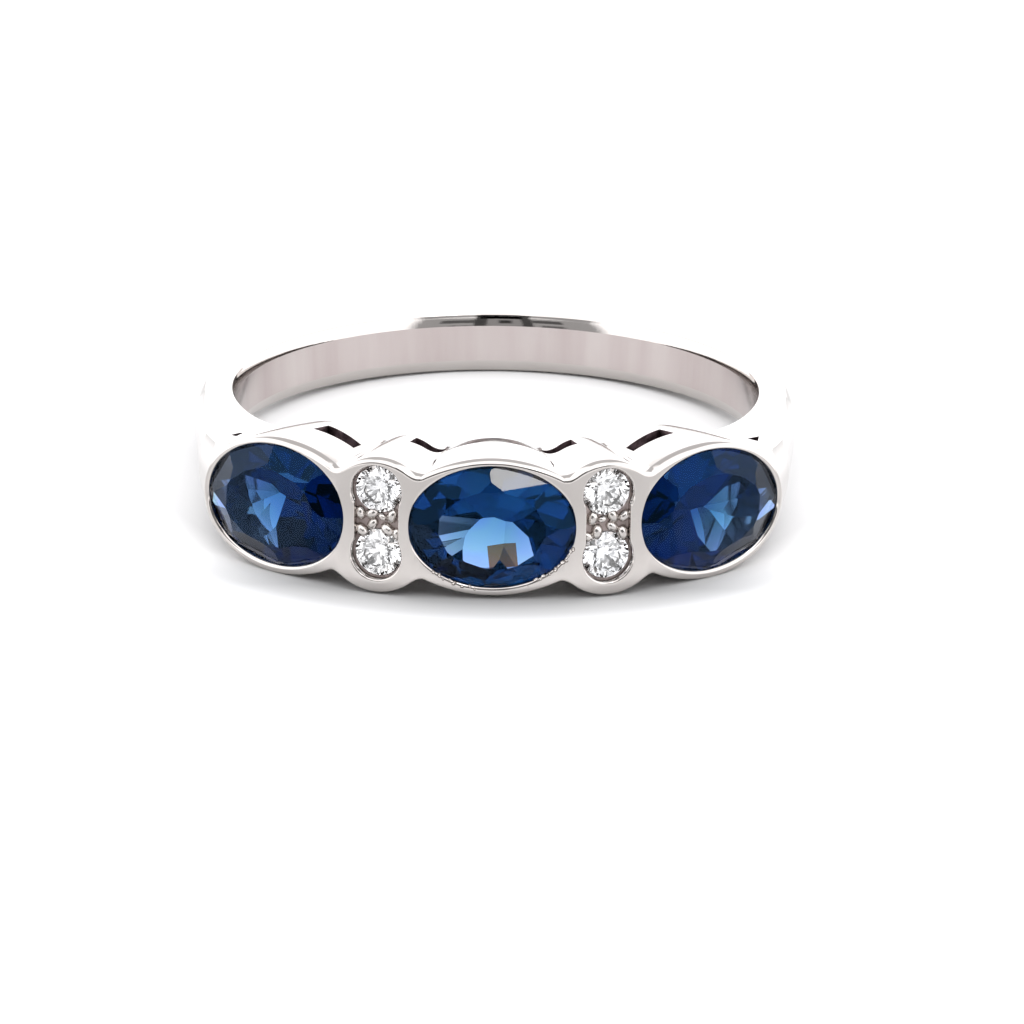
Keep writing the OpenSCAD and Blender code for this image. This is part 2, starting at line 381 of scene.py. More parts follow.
@dataclass(frozen=True)
class Block:
    """One block of the head: where its face lies and how high its scalloped wall stands.

    Each number pair holds the value at the finger hole and at the face. Across the block the
    wall falls off as an arc: height less (radius less the root of the radius squared less the
    offset squared).
    """

    turn: float
    face_r: float
    crown: tuple[float, float]
    arc: tuple[float, float]

    def share(self, out: Array) -> Array:
        """How far a distance lies on the way from the finger hole to the face."""
        return (out - RING.finger_r) / (self.face_r - RING.finger_r)

    def height(self, turn: Array, r: Array) -> Array:
        """Height of the wall at an angle and a distance from the finger axis.

        Args:
            turn: Angles from the middle of the head.
            r: Distances from the finger axis.

        Returns:
            The heights, or minus one beside the block.
        """
        across = r * np.sin(turn - self.turn)
        share = self.share(r * np.cos(turn - self.turn))
        crown = self.crown[0] + share * (self.crown[1] - self.crown[0])
        arc = self.arc[0] + share * (self.arc[1] - self.arc[0])
        inside = arc**2 - across**2
        return np.where(inside > 0, crown - arc + np.sqrt(np.clip(inside, 0, None)), -1.0)

    def face(self, turn: Array) -> Array:
        """Distance of the face's plane at an angle: its nearest distance over the cosine."""
        return self.face_r / np.clip(np.cos(turn - self.turn), 0.2, None)


@dataclass(frozen=True)
class Head:
    """Three collets and two plates as one solid, a section carried round the head.

    Up to the middle of each outer collet the sections stand in planes through the finger axis.
    Past it they follow the collet's round end: reach times sine and height times cosine.

    Crowns, arcs and end reaches are pairs as those of a block are. A rim's radius shrinks on the
    way round from its first number to its second. The bevel is as wide as its first number on
    the middle collet, and narrows to its second from the angle bevel_stay, over bevel_fade.
    """

    collet_crown: tuple[float, float] = (1.82, 2.22)
    middle_crown: tuple[float, float] = (1.93, 2.22)
    collet_arc: tuple[float, float] = (3.0, 4.8)
    plate_crown: tuple[float, float] = (1.77, 2.12)
    plate_arc: tuple[float, float] = (1.5, 1.81)
    low_plate_crown: tuple[float, float] = (1.77, 2.26)
    end: tuple[float, float] = (2.62, 2.89)
    rim: tuple[float, float] = (0.6, 0.12)
    low_rim: tuple[float, float] = (0.07, 0.05)
    swell: float = 0.035
    notch_soft: float = 0.42
    edge_soft: float = 0.036
    bevel: float = math.radians(9.3)
    bevel_w: tuple[float, float] = (1.4, 0.2)
    bevel_soft: float = 0.05
    bevel_stay: float = math.radians(8.2)
    bevel_fade: float = math.radians(2.8)
    sections: int = 471

    def blocks(self) -> list[Block]:
        """The five blocks from left to right.

        Returns:
            The blocks.
        """
        outer = (RING.face_r, self.collet_crown, self.collet_arc)
        plate = (RING.plate_face_r, self.plate_crown, self.plate_arc)
        middle = (RING.face_r, self.middle_crown, self.collet_arc)
        kinds = (outer, plate, middle, plate, outer)
        return [Block((place - 2) * RING.plate_turn, *kind) for place, kind in enumerate(kinds)]

    def walls(self, turn: Array, r: Array) -> Array:
        """Height of all walls together, with soft creases between the blocks.

        Args:
            turn: Angles from the middle of the head.
            r: Distances from the finger axis.

        Returns:
            The heights.
        """
        best = np.full(np.broadcast(turn, r).shape, -1.0)
        for block in self.blocks():
            best = blend_max(best, block.height(turn, r), self.notch_soft)
        return best

    def height(self, turn: Array, r: Array) -> Array:
        """Height of the walls with the bevel that falls off towards the finger hole.

        Args:
            turn: Angles from the middle of the head.
            r: Distances from the finger axis.

        Returns:
            The heights.
        """
        away = smooth((np.abs(turn) - self.bevel_stay) / self.bevel_fade)
        kink = RING.finger_r + self.bevel_w[0] + away * (self.bevel_w[1] - self.bevel_w[0])
        inner = blend_max(kink - r, np.zeros_like(r), self.bevel_soft)
        return self.walls(turn, r + inner) - inner * math.tan(self.bevel)

    def reach(self, out: Array) -> Array:
        """Reach of an outer collet's round end from its middle."""
        return self.end[0] + self.blocks()[-1].share(out) * (self.end[1] - self.end[0])

    def end_height(self, turn: Array, r: Array) -> Array:
        """Height of the outer collet's round end past its middle.

        Args:
            turn: Angles from the middle of the head.
            r: Distances from the finger axis.

        Returns:
            The heights, or nought off the round end.
        """
        off = np.abs(turn) - RING.outer_turn
        out = r * np.cos(off)
        across = r * np.sin(off) / self.reach(out)
        crest = self.height(np.full_like(off, RING.outer_turn), out)
        height = crest * np.sqrt(np.clip(1 - across**2, 0, None))
        return np.where((across < 1) & (out > 0), height, 0)

    def face(self, turn: Array) -> Array:
        """Distance of the faces, whose edges are slightly rounded where two faces meet.

        Args:
            turn: Angles from the middle of the head.

        Returns:
            The distances.
        """
        best = np.full_like(turn, 1e3)
        for block in self.blocks():
            best = -blend_max(-best, -block.face(turn), self.edge_soft)
        return best

    def profile(
        self, face: Array, tilt: Array, rim: tuple[float, float]
    ) -> list[tuple[Array, Array, Array, float]]:
        """Rows of a section: up the wall, over the rounded rim and along the face to its middle.

        Args:
            face: Distance of the face in each section.
            tilt: Slope of the wall at its rim, as an angle.
            rim: The rim's radius where it leaves the wall and where it meets the face.

        Returns:
            For each row its distance, the distance at which the wall's height is read, what is
            added to that height, and the share of the height that it keeps.
        """
        part = np.array([0, 0.08, 0.15, 0.22, 0.29, 0.36, 0.45, 0.6, 0.8, 1.0])[:, None]
        slope = part * (math.pi / 2 + tilt) - tilt
        radius = rim[1] + (rim[0] - rim[1]) * (1 - smooth((part - 0.22) / 0.2))
        arc = (radius[1:] + radius[:-1]) / 2 * np.diff(slope, axis=0)
        mid = (slope[1:] + slope[:-1]) / 2
        ahead, back = (np.cumsum(arc * way, axis=0) for way in (np.cos(mid), np.sin(mid)))
        top = face - ahead[-1]
        rows = []
        for s in np.concatenate([[-0.1, 0.0], np.linspace(0.03, 0.47, 16), np.linspace(0.56, 1, 6)]):
            r = RING.finger_r + s * (top - RING.finger_r)
            rows.append((r, r, np.full_like(r, self.swell * 4 * max(s, 0.0) * (1 - s)), 1.0))
        for more, less in zip(ahead, back):
            rows.append((top + more, top, -less, 1.0))
        for s in (0.97, 0.9, 0.7, 0.3):
            rows.append((face, top, -back[-1], s))
        return rows

    def side(self, rim: tuple[float, float]) -> Array:
        """One side of all sections, from the left round end to the right one.

        Args:
            rim: The rim's radii, which change to those of the upper side at the very ends.

        Returns:
            The points: rows of a section first, then sections.
        """
        turn = np.linspace(-RING.outer_turn, RING.outer_turn, self.sections)
        face = self.face(turn)
        tilt = np.arctan((self.height(turn, face - 0.1) - self.height(turn, face - 0.3)) / 0.2)
        middle = []
        for r, read, more, share in self.profile(face, tilt, rim):
            h = (self.height(turn, read) + more) * share
            middle.append(around(turn, r, h))
        past = np.radians(np.concatenate([np.linspace(0, 80, 54)[1:], np.linspace(80, 90, 12)[1:]]))
        end_face = np.full_like(past, RING.face_r)
        crest = np.full_like(past, RING.outer_turn)
        toward = smooth(past / past[-1])
        end_rim = tuple(radius + toward * (top - radius) for radius, top in zip(rim, self.rim))
        right = []
        for r, read, more, share in self.profile(end_face, np.full_like(past, tilt[-1]), end_rim):
            h = (self.height(crest, read) + more) * share * np.cos(past)
            t = (self.reach(read) + more) * share * np.sin(past)
            right.append(on_head(RING.outer_turn, t, h, r))
        left = [row[::-1] * np.array([-1, 1, 1]) for row in right]
        return np.array([np.concatenate(rows) for rows in zip(left, middle, right)])

    def rings(self) -> Array:
        """All sections: the upper side, the lower side and the hidden inside.

        Below, the rims are tighter and the plates hang a little lower.

        Returns:
            The points: sections first, then places round a section.
        """
        upper = self.side(self.rim)
        below = replace(self, plate_crown=self.low_plate_crown)
        lower = below.side(self.low_rim)[::-1] * np.array([1, 1, -1])
        inside = np.array([upper[0] * np.array([1, 1, share]) for share in (-0.6, -0.2, 0.2, 0.6)])
        return np.concatenate([upper, lower, inside]).transpose(1, 0, 2)

    def build(self) -> bpy.types.Object:
        """Makes the solid head, sewn along the middle of its two round ends."""
        return tube("head", self.rings(), flat_ends=True)


@dataclass
class Hollow:
    """A cutter whose section is carried round a closed curve in a face of the head.

    The curve is pushed outwards along its own normal by the section's first number, and the
    section's second number is the height above the face. A deep push inwards draws the whole
    curve together evenly instead, so that it never crosses itself. After its polished strips
    come those that no wheel reaches.
    """

    name: str
    turn: float
    face_r: float
    curve: Array
    section: Array
    polished: int = 10**6
    deep_push: float = -0.9

    def build(self) -> bpy.types.Object:
        """Makes the cutter.

        Returns:
            The cutter.
        """
        ahead = np.roll(self.curve, -1, axis=0) - np.roll(self.curve, 1, axis=0)
        normal = np.stack([ahead[:, 1], -ahead[:, 0]], axis=-1)
        normal /= np.linalg.norm(normal, axis=1, keepdims=True)
        rows = []
        for push, height in self.section:
            if push > self.deep_push:
                at = self.curve + push * normal
            else:
                at = self.curve * (1 + push / np.hypot(*self.curve.max(axis=0)))
            rows.append(on_head(self.turn, *at.T, self.face_r + height))
        strips = range(len(rows) - 1)
        left_as = [Surface.POLISHED if k < self.polished else Surface.RECESS for k in strips]
        return tube(self.name, np.array(rows), left_as)


def ellipse(a: float, b: float, count: int = 160) -> Array:
    """An ellipse as points: half length times cosine, half width times sine."""
    turn = np.linspace(0, 2 * math.pi, count, endpoint=False)
    return np.stack([a * np.cos(turn), b * np.sin(turn)], axis=-1)


def dog_bone(lobe: float, apart: float, waist: float, count: int = 200) -> Array:
    """Two circles joined by a straight waist, whose corners are eased three times.

    Args:
        lobe: Radius of the circles.
        apart: Distance of each circle's middle from the middle.
        waist: Half width of the waist.
        count: Number of points.

    Returns:
        The closed curve, counter-clockwise.
    """
    start = -math.acos(waist / lobe)
    turn = np.linspace(start, math.pi - start, count // 2 - 20)
    top = np.stack([lobe * np.cos(turn), apart + lobe * np.sin(turn)], axis=-1)
    side_h = np.linspace(top[-1, 1], -top[-1, 1], 22)[1:-1]
    left = np.stack([np.full_like(side_h, -waist), side_h], axis=-1)
    curve = np.vstack([top, left, -top, -left])
    for _ in range(3):
        curve = (np.roll(curve, 1, axis=0) + 2 * curve + np.roll(curve, -1, axis=0)) / 4
    return curve


def quarter(radius: float, steps: int = 8) -> Array:
    """Section of a rounded edge: from the face, radius away, round to the wall, radius down."""
    a = np.linspace(0, math.pi / 2, steps)
    return np.stack([radius * (1 - np.sin(a)), -radius * (1 - np.cos(a))], axis=-1)


@dataclass
class Band:
    """Shank and shoulders: one court section carried round the back from collet to collet.

    Under the outer collet's face the crown runs on to the angle inside, counted from the
    collet's middle. There it falls to the finger hole over the angle fall, and the solid ends
    after the angle tuck.
    """

    name: str = "band"
    edge: float = 0.1
    inside: float = math.radians(9.3)
    tuck: float = math.radians(2.6)
    fall: float = math.radians(3)
    sections: int = 500

    def crown(self, turn: Array) -> Array:
        """Distance of the crown: the shank's radius, or the line that touches it.

        Inside the collet the crown runs on just under the face, to where the collet's wall
        stands above the band, and falls from there to the finger hole.

        Args:
            turn: Angles from the middle of the head.

        Returns:
            The distances.
        """
        turn = np.abs(turn)
        past = np.clip(RING.touch_turn - turn, 0, None)
        touching = RING.crown_r / np.cos(past)
        corner = polar(math.hypot(RING.face_r, RING.collet_end) - RING.rim_stand, RING.end_turn)
        start = polar(RING.crown_r + 0.5, RING.touch_turn)
        under = math.hypot(*corner) * math.cos(RING.end_turn - RING.outer_turn)
        edge = RING.outer_turn + self.inside
        high, low = polar(under / math.cos(self.inside), edge), polar(RING.core_r, edge - self.fall)
        straight = np.minimum(touching, line_distance(start, corner, turn))
        best = np.where(turn < RING.touch_turn, straight, touching)
        best = np.where(turn < RING.end_turn, under / np.cos(turn - RING.outer_turn), best)
        return np.where(turn < edge, line_distance(high, low, turn), best)

    def half_width(self, turn: Array, r: Array) -> Array:
        """Half width at a place: an arc opens the sides towards the head."""
        ahead = np.clip(r * np.cos(turn) - RING.flare_start, 0, None)
        return RING.band_half + RING.flare_r - np.sqrt(RING.flare_r**2 - ahead**2)

    def section_round(self, turn: Array) -> Array:
        """Radius of the crown's arc, larger near the head."""
        share = np.clip((RING.touch_turn - np.abs(turn)) / (RING.touch_turn - RING.end_turn), 0, 1.3)
        return RING.court_r + (RING.shoulder_round - RING.court_r) * share

    def corner(self, turn: Array, mid: Array, arc: Array) -> tuple[Array, Array, Array]:
        """Centre of the small round between the flat side and the crown's arc.

        Args:
            turn: Angles of the sections.
            mid: Distance of the arc's centre in each.
            arc: Radius of the arc in each.

        Returns:
            The centre's distance and height, and the slope of the side as an angle.
        """
        r = mid + arc
        for _ in range(6):
            slope = np.arctan((self.half_width(turn, r + 0.01) - self.half_width(turn, r)) / 0.01)
            h = self.half_width(turn, r) - self.edge / np.cos(slope)
            r = mid + np.sqrt((arc - self.edge) ** 2 - h**2)
        return r, h, slope

    def build(self) -> bpy.types.Object:
        """Makes the band as a closed solid that ends inside the outer collets.

        Returns:
            The band.
        """
        start = RING.outer_turn + self.inside - self.tuck
        turn = np.linspace(start, 2 * math.pi - start, self.sections)
        signed = np.where(turn > math.pi, turn - 2 * math.pi, turn)
        arc = self.section_round(signed)
        mid = self.crown(signed) - arc
        corner_r, corner_h, slope = self.corner(signed, mid, arc)
        reach = np.arctan2(corner_h, corner_r - mid)
        side_end = corner_r - self.edge * np.sin(slope)
        rows = []
        for s in np.linspace(0, 1, 11)[:-1]:
            r = RING.core_r + s * (side_end - RING.core_r)
            rows.append((r, self.half_width(signed, r)))
        for s in np.linspace(0, 1, 6)[:-1]:
            a = math.pi / 2 + slope + s * (reach - math.pi / 2 - slope)
            rows.append((corner_r + self.edge * np.cos(a), corner_h + self.edge * np.sin(a)))
        for s in np.linspace(1, 0, 12):
            rows.append((mid + arc * np.cos(reach * s), arc * np.sin(reach * s)))
        rows += [(r, -h) for r, h in rows[-2::-1]]
        grid = np.array([around(turn, r, h) for r, h in rows])
        return tube(self.name, grid.transpose(1, 0, 2))


@dataclass(frozen=True)
class HoleEdge:
    """Height of the metal round the finger hole, read from the head and the band."""

    head: Head
    band: Band
    out: float = 8.7

    def at(self, turn: Array) -> Array:
        """The highest of all parts at each angle from the middle of the head.

        Args:
            turn: Angles from the middle of the head.

        Returns:
            The heights.
        """
        signed = (turn + math.pi) % (2 * math.pi) - math.pi
        r = np.full_like(turn, self.out)
        within = np.abs(signed) <= RING.outer_turn
        head = np.where(within, self.head.height(signed, r), self.head.end_height(signed, r))
        return np.maximum(head, np.where(within, 0, self.band.half_width(signed, r)))


@dataclass
class FingerHole:
    """Cutter for the finger hole: a cylinder whose edges are eased as on a comfort fit.

    The ease is an arc that leaves the brushed cylinder at the first slope and ends at the second.
    The cutter stands past the metal's edge at both ends.
    """

    name: str = "finger_hole"
    ease: float = 0.32
    slopes: tuple[float, float] = (math.radians(9), math.radians(30))
    edge: float = 0.07
    past_edge: float = 1.2
    sections: int = 840

    def build(self, half_height: HoleEdge) -> bpy.types.Object:
        """Makes the cutter.

        Args:
            half_height: Gives the height of the metal's edge at each angle.

        Returns:
            The cutter.
        """
        turn = np.linspace(0, 2 * math.pi, self.sections, endpoint=False)
        half = half_height.at(turn)
        first, last = self.slopes
        arc = self.ease / (math.sin(last) - math.sin(first))
        flat = half - self.ease - self.edge
        rows = []
        for a in np.linspace(first, last, 7):
            out = RING.finger_r + arc * (math.cos(first) - math.cos(a))
            rows.append((out, flat + arc * (math.sin(a) - math.sin(first))))
        far = rows[-1][0]
        for a in np.linspace(last, math.pi / 2, 6)[1:]:
            rise = self.edge * (math.sin(a) - math.sin(last)) / (1 - math.sin(last))
            rows.append((far + self.edge * (math.cos(last) - math.cos(a)), flat + self.ease + rise))
        rows.append((rows[-1][0], half + self.past_edge))
        rows.append((RING.finger_r * 0.5, half + self.past_edge))
        grid = [around(turn, r, h) for r, h in [(r, -h) for r, h in reversed(rows)] + rows]
        left_as = [Surface.POLISHED] * (len(grid) - 1)
        left_as[len(rows) - 1] = Surface.BORE
        return tube(self.name, np.array(grid), left_as)


def prism(name: str, corners: Array, reach: float = 5.0) -> bpy.types.Object:
    """Cutter with straight sides through the given corners, along the finger both ways."""
    rows = [np.column_stack([corners, np.full(len(corners), h)]) for h in (-reach, reach)]
    # The window walls get the finish with painted shade.
    return tube(name, np.array(rows), Surface.WINDOW)


def pebble(name: str, turn: float, place: tuple[float, float, float], radius: float) -> bpy.types.Object:
    """A small uneven ball: rings of radius times cosine, at heights of radius times sine.

    Args:
        name: Name of the object.
        turn: Angle of the face in which it lies.
        place: Its middle along the face, up the face and out from the finger axis.
        radius: Its radius, which swells and shrinks by a sixth twice round.

    Returns:
        The ball.
    """
    along, up, out = place
    ring = ellipse(1.0, 1.0, 20)
    round_at = np.arctan2(ring[:, 1], ring[:, 0])
    ring = ring * (1 + np.cos(2 * round_at + 7 * along + 3 * up) / 6)[:, None]
    rows = []
    for a in np.linspace(-math.pi / 2, math.pi / 2, 11)[1:-1]:
        at = ring * radius * math.cos(a) + np.array([along, up])
        rows.append(on_head(turn, *at.T, out + radius * math.sin(a)))
    return tube(name, np.array(rows))


@dataclass
class Mount:
    """The soldered metal: band, shoulders, three collets, two plates with their grains.

    A window has two ends, each an angle in degrees with its inner and outer distance. A shoulder
    window has its corners in the ring's plane. A channel has the radius of its lobes, their
    distance from its middle and the half width of its waist. A seat has its radius and that of
    the hole behind it. A grain has its place along and up its plate and its radius. A nick spot
    has its first and last angle in degrees and its number of nicks.
    """

    windows: tuple = (((9.0, 9.42, 9.78), (15.7, 9.0, 9.75)), ((25.0, 9.85, 10.4), (33.6, 9.46, 10.3)))
    shoulder_windows: tuple = (
        ((-8.0, -6.25), (-8.12, -6.22), (-8.4, -6.62), (-8.2, -6.86)),
        ((8.06, -6.22), (8.46, -5.82), (8.4, -6.66)),
    )
    opening: tuple[float, float] = (2.59, 1.94)
    lip: float = 0.13
    channel: tuple[float, float, float] = (0.82, 1.03, 0.71)
    channel_edge: float = 0.07
    channel_depth: float = 0.34
    seat: tuple[float, float] = (0.78, 0.3)
    grains: tuple = (
        (-0.6, 0.2, 0.2), (-0.22, 0.22, 0.21), (0.12, 0.13, 0.14), (0.45, 0.19, 0.22), (-0.2, -0.12, 0.19),
        (-0.55, -0.36, 0.23), (0.3, -0.27, 0.23), (0.6, -0.4, 0.19),
    )
    nick_spots: tuple = ((226, 260, 8), (296, 342, 12))
    sharp_from: float = math.radians(24)

    def stone_hollows(self) -> list[bpy.types.Object]:
        """Cutters for the three oval openings: rounded lip, groove, seat and open back.

        Returns:
            The cutters.
        """
        deep = -(RING.face_r - RING.core_r) - 1
        groove = [(0.0, -0.17), (0.14, -0.2), (0.14, -0.33)]
        section = [(self.lip, 0.7), *quarter(self.lip), *groove, (-1.45, -1.97), (-1.45, deep)]
        curve = ellipse(*self.opening)
        return [
            Hollow(f"hollow_{k}", turn, RING.face_r, curve, section).build()
            for k, turn in enumerate((-RING.outer_turn, 0.0, RING.outer_turn))
        ]

    def plate_hollows(self) -> list[bpy.types.Object]:
        """Cutters for the two sunk channels, and the seat and azure hole behind each round stone.

        Returns:
            The cutters.
        """
        made = []
        depth, edge = self.channel_depth, self.channel_edge
        bone = dog_bone(*self.channel)
        section = [(edge, 0.7), *quarter(edge), (0.0, -depth + 0.04), (-0.04, -depth)]
        wide, narrow = self.seat
        seat = ((wide, 0.6), (wide, -depth + 0.02), (narrow, -depth - 0.62), (narrow, -5.2))
        ring = ellipse(1.0, 1.0, 64)
        for side, word in ((-1, "left"), (1, "right")):
            turn = side * RING.plate_turn
            made.append(Hollow(f"channel_{word}", turn, RING.plate_face_r, bone, section, 9).build())
            for k, shift in enumerate((-self.channel[1], self.channel[1])):
                rows = []
                for radius, height in seat:
                    at = ring * radius + np.array([0.0, shift])
                    rows.append(on_head(turn, *at.T, RING.plate_face_r + height))
                made.append(tube(f"seat_{word}_{k}", np.array(rows), Surface.RECESS))
        return made

    def window_cutters(self) -> list[bpy.types.Object]:
        """Cutters for the windows above the base rail and at the shoulders.

        A window runs between two angles, and its inner and outer distances change evenly.

        Returns:
            The cutters.
        """
        made = []
        share = np.linspace(0, 1, 24)
        for side in (-1, 1):
            for k, (first, last) in enumerate(self.windows):
                turn, inner, outer = (a + share * (b - a) for a, b in zip(first, last))
                turn = np.radians(turn) * side
                ends = [np.stack([r * np.sin(turn), -r * np.cos(turn)], axis=-1) for r in (inner, outer)]
                made.append(prism(f"window_{side}_{k}", np.vstack([ends[0], ends[1][::-1]])))
        for k, corners in enumerate(self.shoulder_windows):
            made.append(prism(f"shoulder_window_{k}", np.array(corners)))
        return made

    def raised_grains(self) -> list[bpy.types.Object]:
        """Grains raised between the round stones, mirrored from plate to plate.

        Returns:
            The grains.
        """
        made = []
        for side in (-1, 1):
            for k, (along, up, radius) in enumerate(self.grains):
                place = (-side * along, up, RING.plate_face_r - self.channel_depth)
                made.append(pebble(f"grain_{side}_{k}", side * RING.plate_turn, place, radius))
        return made

    def nicks(self) -> list[bpy.types.Object]:
        """Cutters for the worn lower lip of the middle collet.

        Returns:
            The cutters.
        """
        chance = np.random.default_rng(5)
        turns = np.concatenate([np.linspace(*spot) for spot in self.nick_spots])
        turns = np.radians(turns + chance.uniform(-1.5, 1.5, len(turns)))
        on_lip = self.lip * chance.uniform(0.2, 0.9, len(turns))
        radii = chance.uniform(0.035, 0.085, len(turns))
        made = []
        for k, (turn, off, radius) in enumerate(zip(turns, on_lip, radii)):
            along, up = (self.opening[0] + off) * math.cos(turn), (self.opening[1] + off) * math.sin(turn)
            made.append(pebble(f"nick_{k}", 0.0, (along, up, RING.face_r - 0.02), radius))
        return made

    def keep_sharp(self, mesh: bpy.types.Mesh) -> None:
        """Makes the edges sharp where two kinds of surface meet.

        Args:
            mesh: The mount's mesh, which is changed.
        """
        edge = read(mesh.loops, "edge_index")
        loop_kind = np.repeat(read(mesh.polygons, "material_index"), read(mesh.polygons, "loop_total"))
        least, most = np.full(len(mesh.edges), 9), np.full(len(mesh.edges), -1)
        np.minimum.at(least, edge, loop_kind)
        np.maximum.at(most, edge, loop_kind)
        sharp = read(mesh.edges, "use_edge_sharp", bool) | (least != most)
        mesh.edges.foreach_set("use_edge_sharp", sharp)

    def build(self, finishes: list) -> bpy.types.Object:
        """Joins and cuts the solids into one mount and shades it by its edges.

        Args:
            finishes: The finish of each kind of surface.

        Returns:
            The mount.
        """
        head, band = Head(), Band()
        hole = FingerHole().build(HoleEdge(head, band))
        body = band.build()
        body.name = "mount"
        hollows = [*self.stone_hollows(), *self.plate_hollows(), *self.window_cutters(), *self.nicks()]
        combine(body, [head.build()], [hole, *hollows], finishes)
        combine(body, self.raised_grains(), [], finishes)
        mesh = body.data
        sew(mesh)
        mesh.shade_smooth()
        mesh.set_sharp_from_angle(angle=self.sharp_from)
        self.keep_sharp(mesh)
        even = body.modifiers.new("even", "WEIGHTED_NORMAL")
        even.mode = "FACE_AREA"
        even.weight = 60
        even.keep_sharp = True
        settle(body)
        return body


def corners_under(planes: Array) -> Array:
    """Corners of the space under all planes: where three planes meet and no other lies below.

    Args:
        planes: Rows of a unit normal and the plane's distance from the middle.

    Returns:
        The corners, one row of three numbers each.
    """
    normal, far = planes[:, :3], planes[:, 3]
    one, two, three = np.array(list(itertools.combinations(range(len(planes)), 3))).T
    cross = np.cross(normal[two], normal[three])
    spread = np.einsum("ij,ij->i", normal[one], cross)
    clear = np.abs(spread) > 1e-7
    one, two, three, cross, spread = (row[clear] for row in (one, two, three, cross, spread))
    corners = far[one, None] * cross
    corners += far[two, None] * np.cross(normal[three], normal[one])
    corners += far[three, None] * np.cross(normal[one], normal[two])
    corners /= spread[:, None]
    kept = (corners @ normal.T <= far + 1e-6).all(axis=1)
    return np.unique(np.round(corners[kept], 5), axis=0)


@dataclass(frozen=True)
class Tier:
    """One row of facets of an oval stone.

    Each plane touches a smaller copy of the girdle at one height. It leans from the table by one
    angle at the stone's sides and another at its ends. Cut by hand, the facets differ a little.
    """

    count: int
    start: float
    lean: tuple[float, float]
    share: float
    height: float
    play: float = 0.0
    below: bool = False

    def planes(self, half: tuple[float, float], chance: np.random.Generator) -> Array:
        """Works out the planes: the unit normal and the distance from the stone's middle.

        Args:
            half: Half length and half width of the girdle.
            chance: Source of the small differences, in degrees.

        Returns:
            One row of four numbers for each facet.
        """
        shift = chance.uniform(-self.play, self.play, (2, self.count))
        turn = np.radians(self.start + 360 / self.count * np.arange(self.count) + 2 * shift[0])
        sides, ends = self.lean
        lean = np.radians(sides + (ends - sides) * np.cos(turn) ** 2 + shift[1])
        flat = np.stack([np.cos(turn) / half[0], np.sin(turn) / half[1]], axis=-1)
        flat /= np.linalg.norm(flat, axis=1, keepdims=True)
        rim = self.share * np.hypot(half[0] * flat[:, 0], half[1] * flat[:, 1])
        up = np.cos(lean) * (-1 if self.below else 1)
        return np.column_stack([flat * np.sin(lean)[:, None], up, np.sin(lean) * rim + up * self.height])


@dataclass(frozen=True)
class OvalStone:
    """An oval sapphire of one collet: crown in halves, kites and stars, pavilion in five rows.

    The five pairs are the leans of the pavilion's rows in degrees, from the girdle down. The
    glint is the turn and lean of one more facet, which catches the light.
    """

    node: str
    turn: float
    seed: int
    half: tuple[float, float] = (2.7, 2.02)
    table: float = 0.52
    depth: float = 1.95
    set_back: float = 0.22
    top: tuple[float, float] = (57, 53)
    upper: tuple[float, float] = (47, 45)
    mid: tuple[float, float] = (42, 40)
    low: tuple[float, float] = (37, 34)
    flat: tuple[float, float] = (28, 24)
    low_at: float = -1.34
    play: float = 5.0
    glint: tuple[float, float] | None = None

    def planes(self) -> Array:
        """All planes of the stone; a facet that catches the light comes last.

        Returns:
            Rows of a unit normal and the plane's distance from the stone's middle.
        """
        chance = np.random.default_rng(self.seed)
        tiers = [
            Tier(8, 22.5, (33, 27), 0.985, 0.03, 1.6),
            Tier(16, 11.25, (42, 35), 1.0, 0.03, 1.2),
            Tier(8, 0, (20, 16), 0.64, 0.5, 1.6),
            Tier(48, 3.75, (90, 90), 1.0, 0.0),
            Tier(16, 11.25, self.top, 1.0, -0.08, self.play, True),
            Tier(16, 0, self.upper, 0.93, -0.27, self.play, True),
            Tier(16, 11.25, self.mid, 0.75, -0.64, self.play, True),
            Tier(8, 22.5, self.low, 0.5, self.low_at, self.play, True),
            Tier(8, 0, self.flat, 0.2, 0.05 - self.depth, self.play, True),
        ]
        rows = [np.array([[0, 0, 1, self.table], [0, 0, -1, self.depth]])]
        rows += [tier.planes(self.half, chance) for tier in tiers]
        if self.glint:
            turn, lean = self.glint
            rows.append(Tier(1, turn, (lean, lean), 0.962, 0.03).planes(self.half, chance))
        return np.vstack(rows)

    def build(self, finishes: list) -> bpy.types.Object:
        """Makes the stone.

        Args:
            finishes: The finish of the stone and that of the facet that catches the light.

        Returns:
            The stone, flat shaded. Its attribute "girdle_share" runs from 0 in the middle to 1.
        """
        planes = self.planes()
        corners = corners_under(planes)
        loops, bright = [], []
        for k, plane in enumerate(planes):
            on = np.nonzero(np.abs(corners @ plane[:3] - plane[3]) < 3e-5)[0]
            if len(on) < 3:
                continue
            off = corners[on] - corners[on].mean(axis=0)
            first = np.cross(plane[:3], [0.3, 0.5, 0.81])
            second = np.cross(plane[:3], first)
            order = np.argsort(np.arctan2(off @ second, off @ first * np.linalg.norm(first)))
            loops.append(on[order])
            bright.append(self.glint is not None and k == len(planes) - 1)
        starts = np.cumsum([0] + [len(loop) for loop in loops[:-1]])
        out = RING.face_r - self.set_back + corners[:, 2]
        points = at_rest(on_head(self.turn, *corners.T[:2], out))
        mesh = mesh_from(self.node + "_cut", points, np.concatenate(loops), starts)
        mesh.shade_flat()
        for finish in finishes:
            mesh.materials.append(finish)
        mesh.polygons.foreach_set("material_index", np.array(bright, dtype=np.int32))
        share = mesh.attributes.new("girdle_share", "FLOAT", "POINT")
        reach = np.hypot(corners[:, 0] / self.half[0], corners[:, 1] / self.half[1])
        share.data.foreach_set("value", reach)
        made = object_of(mesh)
        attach(made, "root")
        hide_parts(self.node)
        return made


